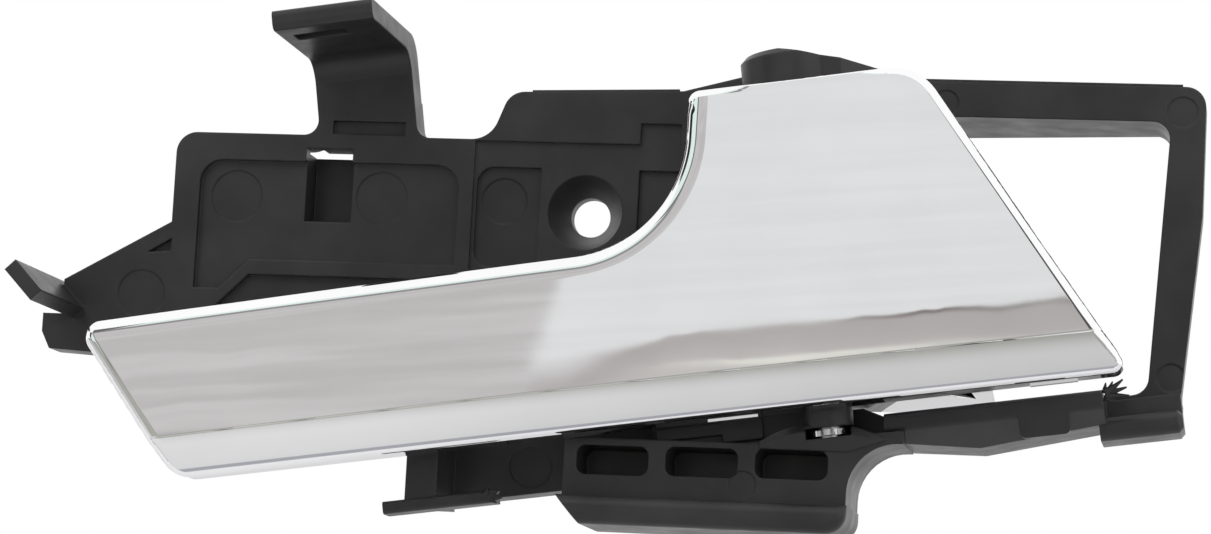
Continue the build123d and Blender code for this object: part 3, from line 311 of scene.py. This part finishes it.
class Nodes:
    """Short calls for building one material's node tree."""

    def __init__(self, name):
        self.material = bpy.data.materials.new(name)
        self.material.use_nodes = True
        self.tree = self.material.node_tree
        self.shader = self.tree.nodes["Principled BSDF"]
        self.spot = self.node("ShaderNodeTexCoord").outputs["Object"]

    def node(self, kind, **settings):
        made = self.tree.nodes.new(kind)
        for key, value in settings.items():
            setattr(made, key, value)
        return made

    def link(self, source, target):
        self.tree.links.new(source, target)

    def give(self, value, socket):
        """Links a socket to another one, or sets it to a number or a colour."""
        if isinstance(value, bpy.types.NodeSocket):
            self.link(value, socket)
        elif isinstance(value, tuple):
            socket.default_value = (*value, 1)
        else:
            socket.default_value = value

    def into(self, source, socket):
        self.link(source, self.shader.inputs[socket])

    def fixed(self, socket, value):
        self.shader.inputs[socket].default_value = value

    def noise(self, scale, detail=3.0, stretch=None):
        """Noise whose scale counts waves per metre, stretched along the axes if asked."""
        texture = self.node("ShaderNodeTexNoise")
        texture.inputs["Scale"].default_value = scale
        texture.inputs["Detail"].default_value = detail
        if stretch is None:
            self.link(self.spot, texture.inputs["Vector"])
        else:
            mapping = self.node("ShaderNodeMapping")
            mapping.inputs["Scale"].default_value = stretch
            self.link(self.spot, mapping.inputs["Vector"])
            self.link(mapping.outputs["Vector"], texture.inputs["Vector"])
        return texture.outputs["Fac"]

    def ramp(self, factor, low, high, start=0.35, stop=0.65):
        """Runs from one colour to another as the factor goes from start to stop."""
        ramp = self.node("ShaderNodeValToRGB")
        ramp.color_ramp.elements[0].position = start
        ramp.color_ramp.elements[0].color = (*low, 1)
        ramp.color_ramp.elements[1].position = stop
        ramp.color_ramp.elements[1].color = (*high, 1)
        self.link(factor, ramp.inputs["Fac"])
        return ramp.outputs["Color"]

    def spread(self, factor, low, high):
        """Maps the range that noise covers onto a range of numbers."""
        spread = self.node("ShaderNodeMapRange")
        spread.inputs["From Min"].default_value = NOISE_LOW
        spread.inputs["From Max"].default_value = NOISE_HIGH
        spread.inputs["To Min"].default_value = low
        spread.inputs["To Max"].default_value = high
        self.link(factor, spread.inputs["Value"])
        return spread.outputs["Result"]

    def bump(self, height, strength, distance, normal=None):
        """The normal of a surface raised by a height, over the mesh's own normal or a given one."""
        bump = self.node("ShaderNodeBump")
        bump.inputs["Strength"].default_value = strength
        bump.inputs["Distance"].default_value = distance
        self.link(height, bump.inputs["Height"])
        if normal is not None:
            self.link(normal, bump.inputs["Normal"])
        return bump.outputs["Normal"]

    def round_edges(self, radius):
        """The normal of a mesh whose edges are rounded."""
        bevel = self.node("ShaderNodeBevel", samples=EDGE_SAMPLES)
        bevel.inputs["Radius"].default_value = radius
        return bevel.outputs["Normal"]

    def parts(self):
        """The spot's coordinates, by the names X, Y and Z."""
        split = self.node("ShaderNodeSeparateXYZ")
        self.link(self.spot, split.inputs["Vector"])
        return split.outputs

    def math(self, operation, first, second):
        """One sum on two numbers or sockets."""
        made = self.node("ShaderNodeMath", operation=operation)
        self.give(first, made.inputs[0])
        self.give(second, made.inputs[1])
        return made.outputs["Value"]

    def plus(self, first, second):
        return self.math("ADD", first, second)

    def minus(self, first, second):
        return self.math("SUBTRACT", first, second)

    def times(self, first, second):
        return self.math("MULTIPLY", first, second)

    def over(self, first, second):
        return self.math("DIVIDE", first, second)

    def least(self, first, second):
        return self.math("MINIMUM", first, second)

    def most(self, first, second):
        return self.math("MAXIMUM", first, second)

    def square(self, value):
        return self.times(value, value)

    def root(self, value):
        return self.math("POWER", value, 0.5)

    def step(self, value, start, stop):
        """Rises smoothly from 0 to 1 as a number goes from start to stop."""
        made = self.node("ShaderNodeMapRange", interpolation_type="SMOOTHSTEP")
        made.inputs["From Min"].default_value = start
        made.inputs["From Max"].default_value = stop
        self.link(value, made.inputs["Value"])
        return made.outputs["Result"]

    def band(self, value, start, stop, soft):
        """One between two numbers and nought outside, with soft edges."""
        rise = self.step(value, start - soft, start + soft)
        return self.times(rise, self.step(value, stop + soft, stop - soft))

    def mix(self, factor, low, high, kind="RGBA"):
        """Something between two colours or, by its kind, between two vectors."""
        first, second, result = MIX_SOCKETS[kind]
        made = self.node("ShaderNodeMix", data_type=kind)
        self.link(factor, made.inputs["Factor"])
        self.give(low, made.inputs[first])
        self.give(high, made.inputs[second])
        return made.outputs[result]

    def lay(self, tone, value, patch, within=None):
        """Lays a patch over a tone where a number is in the patch's span, within a share if asked."""
        span, colour = patch
        share = self.step(value, *span) if len(span) == 2 else self.band(value, *span)
        if within is not None:
            share = self.times(share, within)
        return self.mix(share, tone, colour)

    def reach(self, start, direction):
        """How far the spot lies from a point along a direction, in metres."""
        reach = self.node("ShaderNodeVectorMath", operation="DOT_PRODUCT")
        self.link(self.spot, reach.inputs[0])
        reach.inputs[1].default_value = direction
        return self.minus(reach.outputs["Value"], start.dot(direction))

    def inside(self, start, stop):
        """How far the spot lies in from an edge of the lever's outline, and that way in."""
        start = place(*start, 0)
        across = CABIN_DIR.cross(place(*stop, 0) - start).normalized()
        return self.reach(start, across), across

    def front(self):
        """The normal of the lever's crowned front, as if it ran on past its rim."""
        normal = self.node("ShaderNodeVectorMath", operation="ADD")
        normal.inputs[0].default_value = CABIN_DIR - LEVER_DIR * (CROWN_U / LENGTH_RADIUS)
        for direction, radius in ((LEVER_DIR, LENGTH_RADIUS), (PIN_DIR, FACE_RADIUS)):
            lean = self.node("ShaderNodeVectorMath", operation="SCALE")
            lean.inputs[0].default_value = direction
            self.link(self.over(self.reach(PIVOT, direction), radius * MM), lean.inputs["Scale"])
            self.link(lean.outputs["Vector"], normal.inputs[1])
            more = self.node("ShaderNodeVectorMath", operation="ADD")
            self.link(normal.outputs["Vector"], more.inputs[0])
            normal = more
        turned = self.node("ShaderNodeVectorTransform", vector_type="NORMAL")
        turned.convert_from = "OBJECT"
        turned.convert_to = "WORLD"
        self.link(normal.outputs["Vector"], turned.inputs["Vector"])
        return turned.outputs["Vector"]

    def near(self, distance, width):
        """How far a distance falls short of a width in millimetres, or nought."""
        return self.most(self.minus(width * MM, distance), 0)

    def rim(self, distance, radius):
        """Height of an edge that is rounded with a radius."""
        square = self.minus((radius * MM) ** 2, self.square(self.near(distance, radius)))
        return self.root(self.most(square, 0))

    def roll(self, distance, width, radius):
        """Height of a face that rolls off towards an edge within a width."""
        return self.over(self.square(self.near(distance, width)), -2 * radius * MM)


def moulded_plastic():
    """Charcoal moulded plastic with a fine matt grain and slightly rounded edges."""
    nodes = Nodes("moulded_plastic")
    mottle = nodes.noise(scale=90, detail=5)
    nodes.into(nodes.ramp(mottle, low=(0.0175, 0.0175, 0.0185), high=(0.028, 0.027, 0.028)), "Base Color")
    nodes.into(nodes.spread(nodes.noise(scale=240, detail=4), low=0.32, high=0.44), "Roughness")
    nodes.fixed("Specular IOR Level", 0.36)
    edges = nodes.round_edges(radius=0.4 * MM)
    grain = nodes.bump(nodes.noise(scale=5200, detail=2), strength=0.22, distance=0.04 * MM, normal=edges)
    sink = nodes.noise(scale=130, detail=4)
    nodes.into(nodes.bump(sink, strength=0.3, distance=0.1 * MM, normal=grain), "Normal")
    return nodes.material


def sweep_distance(nodes):
    """How far the spot lies in from the blade's top edge, the sweep and the head's left edge."""
    top, top_across = nodes.inside(LEVER_NECK, LEVER_TIP)
    side, side_across = nodes.inside(LEVER_HEAD_LEFT, LEVER_NECK)
    skew = top_across.dot(side_across)
    top = nodes.plus(top, SWEEP_RADIUS * MM)
    side = nodes.plus(side, SWEEP_RADIUS * MM)
    down = nodes.most(top, nodes.times(side, skew))
    along = nodes.most(side, nodes.times(top, skew))
    squares = nodes.plus(nodes.square(down), nodes.square(along))
    cross = nodes.times(nodes.times(down, along), 2 * skew)
    from_centre = nodes.root(nodes.over(nodes.minus(squares, cross), 1 - skew * skew))
    return nodes.minus(from_centre, SWEEP_RADIUS * MM)


def plating_height(nodes, sweep):
    """Height of the plated front, which rolls off towards its edges and from the crease down."""
    foot = nodes.inside(LEVER_FOOT_LEFT, LEVER_FOOT_RIGHT)[0]
    tip = nodes.inside(LEVER_TIP, LEVER_FOOT_LEFT)[0]
    tail = nodes.plus(nodes.inside(LEVER_FOOT_RIGHT, LEVER_HEAD_RIGHT)[0], (EDGE_ROLL - TAIL_ROLL) * MM)
    edge = nodes.least(nodes.least(foot, tip), tail)
    below = nodes.near(foot, CREASE_RISE)
    height = nodes.roll(sweep, SWEEP_ROLL, SWEEP_ROLL_RADIUS)
    height = nodes.plus(height, nodes.roll(edge, EDGE_ROLL, EDGE_ROLL_RADIUS))
    return nodes.plus(height, nodes.roll(below, CREASE_ROLL, CREASE_ROLL_RADIUS))


def rim_share(nodes, sweep):
    """One on the two stretches of rim that get the front's own normal: the head's top and the sweep."""
    along = nodes.reach(PIVOT, LEVER_DIR)
    up = nodes.reach(PIVOT, PIN_DIR)
    head = nodes.inside(LEVER_HEAD_RIGHT, LEVER_HEAD_LEFT)[0]
    on_head = nodes.band(head, *metres(HEAD_RIM_IN))
    on_head = nodes.times(on_head, nodes.band(along, *metres(HEAD_RIM_ALONG)))
    on_sweep = nodes.band(sweep, *metres(SWEEP_RIM_IN))
    on_sweep = nodes.times(on_sweep, nodes.step(along, *metres(SWEEP_RIM_ALONG)))
    on_sweep = nodes.times(on_sweep, nodes.step(up, *metres(SWEEP_RIM_UP)))
    ahead = nodes.step(nodes.reach(place(0, 0, RIM_BACK), CABIN_DIR), 0, RIM_BACK_FADE * MM)
    return nodes.times(ahead, nodes.most(on_head, on_sweep))


def chrome():
    """Bright plating that rolls off towards its edges, with the slight waves of a moulded base."""
    nodes = Nodes("chrome")
    tint = nodes.noise(scale=60, detail=3)
    nodes.into(nodes.ramp(tint, low=(0.955, 0.955, 0.96), high=(0.985, 0.985, 0.99)), "Base Color")
    nodes.fixed("Metallic", 1.0)
    haze = nodes.noise(scale=300, detail=4, stretch=(0.2, 1, 1))
    nodes.into(nodes.spread(haze, low=0.02, high=0.05), "Roughness")
    sweep = sweep_distance(nodes)
    height = plating_height(nodes, sweep)
    rolled = nodes.bump(height, strength=1.0, distance=1.0)
    rimmed = nodes.plus(height, nodes.rim(sweep, RIM_RADIUS))
    drawn = nodes.bump(rimmed, strength=1.0, distance=1.0, normal=nodes.front())
    normal = nodes.mix(rim_share(nodes, sweep), rolled, drawn, "VECTOR")
    waves = nodes.noise(scale=45, detail=2, stretch=(0.5, 1, 1))
    nodes.into(nodes.bump(waves, strength=0.2, distance=0.2 * MM, normal=normal), "Normal")
    return nodes.material


def bright_steel(name, tone, roughness):
    """Drawn or stamped steel with fine scratches."""
    nodes = Nodes(name)
    dull = [level * STEEL_DULL for level in tone]
    nodes.into(nodes.ramp(nodes.noise(scale=700, detail=4), low=dull, high=tone), "Base Color")
    nodes.fixed("Metallic", 1.0)
    haze = nodes.noise(scale=1500, detail=4)
    nodes.into(nodes.spread(haze, low=roughness * STEEL_SMOOTH, high=roughness * STEEL_ROUGH), "Roughness")
    scratches = nodes.noise(scale=2500, detail=3)
    nodes.into(nodes.bump(scratches, strength=0.2, distance=0.03 * MM), "Normal")
    return nodes.material


def rubber():
    """Matt black rubber."""
    nodes = Nodes("rubber")
    mottle = nodes.noise(scale=400, detail=4)
    nodes.into(nodes.ramp(mottle, low=(0.020, 0.020, 0.020), high=(0.032, 0.032, 0.031)), "Base Color")
    nodes.into(nodes.spread(nodes.noise(scale=600, detail=3), low=0.7, high=0.85), "Roughness")
    nodes.into(nodes.bump(nodes.noise(scale=4000, detail=2), strength=0.3, distance=0.05 * MM), "Normal")
    return nodes.material


def dress(node, material):
    """Give a CAD node its material."""
    slots = frame["nodes"][node].data.materials
    slots.clear()
    slots.append(material)


PLASTIC = moulded_plastic()
CHROME = chrome()
SPRING_STEEL = bright_steel("spring_steel", tone=(0.45, 0.45, 0.46), roughness=0.3)
dress("bracket", PLASTIC)
dress("lever", CHROME)
dress("pivot_pin", bright_steel("pin_steel", tone=(0.55, 0.55, 0.56), roughness=0.28))
dress("pin_clip", bright_steel("clip_steel", tone=(0.72, 0.72, 0.73), roughness=0.2))
dress("return_spring", SPRING_STEEL)
dress("stop_bumper", rubber())


def add_piece(name, points, faces, material, slot):
    """A mesh in the row frame with the given material; the slot argument is not used."""
    mesh = bpy.data.meshes.new(name)
    mesh.from_pydata(points, [], faces)
    mesh.materials.append(material)
    piece = bpy.data.objects.new(name, mesh)
    bpy.context.scene.collection.objects.link(piece)
    return piece


def tube(path, radius, sides):
    """Points and faces of a round bar along a path, closed at both ends."""
    points = []
    faces = []
    across = PIN_DIR
    for step, spot in enumerate(path):
        ahead = (path[min(step + 1, len(path) - 1)] - path[max(step - 1, 0)]).normalized()
        across = (across - ahead * across.dot(ahead)).normalized()
        up = ahead.cross(across)
        for side in range(sides):
            angle = 2 * math.pi * side / sides
            points.append(spot + (across * math.cos(angle) + up * math.sin(angle)) * radius)
    for step in range(len(path) - 1):
        for side in range(sides):
            here = step * sides + side
            beside = step * sides + (side + 1) % sides
            faces.append((here, beside, beside + sides, here + sides))
    faces.append(tuple(reversed(range(sides))))
    faces.append(tuple(range(len(points) - sides, len(points))))
    return points, faces


def add_spring():
    """The torsion spring as round wire, run out to the bracket's wall at its foot and along the lever at
    its head, in place of the solid spring.
    """
    base = PIVOT + PIN_DIR * (COIL_BASE * MM)
    ahead = (CABIN_DIR - LEVER_DIR).normalized()
    side = PIN_DIR.cross(ahead)
    whole = 2 * math.pi * COIL_TURNS + COIL_PART_TURN
    path = []
    for step in range(COIL_STEPS + 1):
        turn = whole * step / COIL_STEPS
        spot = ahead * math.cos(turn) + side * math.sin(turn)
        path.append(base + spot * (COIL_RADIUS * MM) + PIN_DIR * (COIL_PITCH * MM * turn / (2 * math.pi)))
    start = (path[1] - path[0]).normalized()
    stop = (path[-1] - path[-2]).normalized()
    run = path[0].x - (SPRING_WALL_X + WIRE_RADIUS) * MM
    path = [path[0] - start * (run / start.x)] + path + [path[-1] + stop * (LEVER_LEG * MM)]
    wire = tube(path, WIRE_RADIUS * MM, WIRE_SIDES)
    spring = add_piece("spring_wire", *wire, SPRING_STEEL, "spring_steel")
    spring.data.shade_smooth()
    spring.data.set_sharp_from_angle(angle=WIRE_SHARP)
    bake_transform(spring)
    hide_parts("return_spring")


def prism(ring, back):
    """Points and faces of a flat ring of points pushed back by a vector."""
    count = len(ring)
    points = list(ring) + [spot + back for spot in ring]
    faces = [tuple(range(count)), tuple(reversed(range(count, 2 * count)))]
    for here in range(count):
        beside = (here + 1) % count
        faces.append((here, here + count, beside + count, beside))
    return points, faces


def add_tabs():
    """Two low tabs left on the lever's lower edge by the mould."""
    for number, (left, right) in enumerate(TABS):
        ring = [place(left, TAB_TOP, TAB_FRONT), place(left, TAB_FOOT, TAB_FRONT)]
        ring += [place(right, TAB_FOOT, TAB_FRONT), place(right, TAB_TOP, TAB_FRONT)]
        tab = add_piece(f"tab_{number}", *prism(ring, CABIN_DIR * (-TAB_DEPTH * MM)), CHROME, "lever")
        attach(tab, "lever")


def add_flash(name, start, stop, height, dice):
    """A thin ragged seam of flash along an edge of the plate, from one point to another."""
    start = plate_place(*start, FLASH_FRONT)
    stop = plate_place(*stop, FLASH_FRONT)
    along = stop - start
    out = along.cross(CABIN_DIR).normalized()
    steps = int(along.length / (FLASH_STEP * MM))
    ring = [stop - out * (FLASH_ROOT * MM), start - out * (FLASH_ROOT * MM)]
    for step in range(steps + 1):
        rise = height * MM * dice.random() ** 2
        ring.append(start + along * (step / steps) + out * rise)
    strip = add_piece(name, *prism(ring, CABIN_DIR * (-FLASH_THICK * MM)), PLASTIC, "bracket")
    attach(strip, "bracket")


def chip(u, v, depth, turn, length, width):
    """Points and faces of one bent chip of plastic, from its root to its tip."""
    turn = math.radians(turn)
    point = LEVER_DIR * math.cos(turn) + PIN_DIR * math.sin(turn)
    wide = (LEVER_DIR * -math.sin(turn) + PIN_DIR * math.cos(turn)) * (width / 2 * MM)
    root = place(u, v, depth) - point * (CHIP_ROOT * MM)
    knee = root + point * (CHIP_KNEE * length * MM) + CABIN_DIR * (CHIP_BEND * MM)
    tip = root + point * ((CHIP_ROOT + length) * MM)
    ring = [root - wide, knee - wide, tip - wide * CHIP_POINT]
    ring += [tip + wide * CHIP_POINT, knee + wide * CHIP_SHOULDER, root + wide]
    return prism(ring, CABIN_DIR * (-CHIP_THICK * MM))


def add_torn_end(name, chips):
    """A torn end of the bracket, as one piece made of chips."""
    points = []
    faces = []
    for form in chips:
        more, sides = chip(*form)
        faces += [tuple(corner + len(points) for corner in side) for side in sides]
        points += more
    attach(add_piece(name, points, faces, PLASTIC, "bracket"), "bracket")


def add_world():
    """White to the camera and in reflections, and a plain soft level for the rest."""
    world = bpy.data.worlds.new("studio")
    world.use_nodes = True
    tree = world.node_tree
    background = tree.nodes["Background"]
    path = tree.nodes.new("ShaderNodeLightPath")
    seen = path.outputs["Is Camera Ray"]
    for ray in ("Is Glossy Ray", "Is Transmission Ray"):
        either = tree.nodes.new("ShaderNodeMath")
        either.operation = "MAXIMUM"
        tree.links.new(seen, either.inputs[0])
        tree.links.new(path.outputs[ray], either.inputs[1])
        seen = either.outputs["Value"]
    level = tree.nodes.new("ShaderNodeMapRange")
    level.inputs["To Min"].default_value = WORLD_LIGHT
    level.inputs["To Max"].default_value = WORLD_SEEN
    tree.links.new(seen, level.inputs["Value"])
    tree.links.new(level.outputs["Result"], background.inputs["Strength"])
    background.inputs["Color"].default_value = WHITE
    bpy.context.scene.world = world


def add_lamp(name, spot, size, power):
    """A square soft box that shines on the origin and isn't mirrored."""
    lamp = bpy.data.lights.new(name, "AREA")
    lamp.size = size
    lamp.energy = power
    holder = bpy.data.objects.new(name, lamp)
    holder.location = spot
    holder.rotation_euler = (-Vector(spot)).to_track_quat("-Z", "Y").to_euler()
    holder.visible_glossy = False
    bpy.context.scene.collection.objects.link(holder)


def add_plane(name, corners, material):
    """A flat stage piece."""
    mesh = bpy.data.meshes.new(name)
    mesh.from_pydata(corners, [], [(0, 1, 2, 3)])
    mesh.materials.append(material)
    plane = bpy.data.objects.new(name, mesh)
    bpy.context.scene.collection.objects.link(plane)
    return plane


def for_reflections(card):
    """Leaves a stage piece to be seen in reflections only."""
    card.visible_camera = False
    card.visible_diffuse = False
    card.visible_transmission = False
    card.visible_shadow = False


def floor_seen(nodes, x, y):
    """Tone of the floor in reflections: dim in front and at the sides, with a grey strip of painted shadow
    by the handle.
    """
    tone = nodes.lay(FLOOR_RIGHT, x, FLOOR_MIDDLE)
    tone = nodes.lay(tone, x, FLOOR_LEFT)
    for patch in (FLOOR_FRONT, FLOOR_UNDER, FLOOR_PAINTED_SHADOW):
        tone = nodes.lay(tone, y, patch)
    return tone


def add_floor():
    """A white floor below the low camera, which reflections see in other tones."""
    nodes = Nodes("floor")
    parts = nodes.parts()
    x = parts["X"]
    y = parts["Y"]
    path = nodes.node("ShaderNodeLightPath")
    mirrored = path.outputs["Is Glossy Ray"]
    nodes.into(nodes.mix(mirrored, FLOOR_TONE, floor_seen(nodes, x, y)), "Base Color")
    nodes.fixed("Roughness", STAGE_ROUGHNESS)
    nodes.fixed("Emission Color", WHITE)
    away = nodes.root(nodes.plus(nodes.square(x), nodes.square(y)))
    glow = nodes.plus(nodes.times(nodes.step(away, *FLOOR_FAR), FLOOR_FAR_GLOW), FLOOR_GLOW)
    glow = nodes.times(path.outputs["Is Camera Ray"], glow)
    behind = nodes.times(nodes.step(y, *FLOOR_BEHIND), FLOOR_BEHIND_GLOW)
    nodes.into(nodes.plus(glow, nodes.times(mirrored, behind)), "Emission Strength")
    half = FLOOR_SIZE / 2
    corners = [(*corner, FLOOR_HEIGHT) for corner in rectangle(-half, half, -half, half)]
    add_plane("floor", corners, nodes.material)


def table_tone(nodes, x, edge):
    """Tone of the table by the height over its edge, with a dark line along the edge's right part."""
    deep = nodes.lay(TABLE_LEFT, x, TABLE_RIGHT)
    tone = nodes.lay(TABLE_FRONT, edge, (TABLE_DEEP, deep))
    return nodes.lay(tone, edge, TABLE_LINE, nodes.step(x, *TABLE_LINE_X))


def room_tone(nodes, x, z):
    """Tone of a bright room over a dim table, whose tilted wavy edge is low and soft at the left."""
    level = nodes.minus(z, nodes.times(x, TABLE_TILT))
    edge = nodes.minus(level, TABLE_HEIGHT)
    for scale, height in TABLE_WAVES:
        edge = nodes.plus(edge, nodes.times(nodes.noise(scale, stretch=WAVE_STRETCH), height))
    rise = nodes.step(x, *TABLE_RISE)
    edge = nodes.plus(edge, nodes.minus(TABLE_DROP, nodes.times(rise, TABLE_DROP)))
    soft = nodes.minus(TABLE_SOFT, nodes.times(rise, TABLE_SHARPER))
    below = nodes.step(nodes.over(edge, soft), 1, -1)
    tone = nodes.mix(below, ROOM_TONE, table_tone(nodes, x, edge))
    return nodes.lay(tone, level, CREASE_LIGHT, nodes.step(x, *CREASE_LIGHT_X))


def add_room_card():
    """What the plating mirrors of a room: a table, a streaked left wall, a ceiling and dark lines."""
    nodes = Nodes("room_card")
    parts = nodes.parts()
    x = parts["X"]
    z = parts["Z"]
    streak = nodes.noise(STREAK_SCALE, STREAK_DETAIL, STREAK_STRETCH)
    streak = nodes.step(streak, *STREAK_SPAN)
    wall = nodes.mix(streak, WALL_LIGHT, WALL_DARK)
    tone = nodes.lay(room_tone(nodes, x, z), x, (WALL_X, wall))
    tone = nodes.lay(tone, z, LOW_LEFT, nodes.step(x, *LOW_LEFT_X))
    tone = nodes.mix(nodes.times(streak, STREAK_SHARE), tone, STREAK_TONE)
    tone = nodes.lay(tone, z, CEILING)
    tone = nodes.lay(tone, z, BLADE_LINE, nodes.step(x, *BLADE_LINE_X))
    for patch in ROOM_ENDS:
        tone = nodes.lay(tone, x, patch)
    glow = nodes.node("ShaderNodeEmission")
    nodes.link(tone, glow.inputs["Color"])
    nodes.link(glow.outputs["Emission"], nodes.tree.nodes["Material Output"].inputs["Surface"])
    outline = rectangle(CARD_LEFT, CARD_RIGHT, FLOOR_HEIGHT, CARD_TOP)
    corners = [(across, CARD_Y, up) for across, up in outline]
    for_reflections(add_plane("room_card", corners, nodes.material))


def add_side_card():
    """A dark doorway at the left, for the dark line along the lever's hollow sweep."""
    nodes = Nodes("side_card")
    nodes.fixed("Base Color", SIDE_TONE)
    nodes.fixed("Roughness", STAGE_ROUGHNESS)
    outline = rectangle(CARD_Y, SIDE_END, SIDE_FOOT, SIDE_TOP)
    corners = [(SIDE_X, *corner) for corner in outline]
    for_reflections(add_plane("side_card", corners, nodes.material))


add_spring()
add_tabs()
flash_dice = random.Random(FLASH_SEED)
for name, (start, stop, height) in FLASHES.items():
    add_flash(name, start, stop, height, flash_dice)
for name, chips in TORN_ENDS.items():
    add_torn_end(name, chips)
add_camera()
add_world()
add_floor()
add_room_card()
add_side_card()
for name, (spot, size, power) in LAMPS.items():
    add_lamp(name, spot, size, power)
bpy.context.scene.view_settings.view_transform = "Standard"
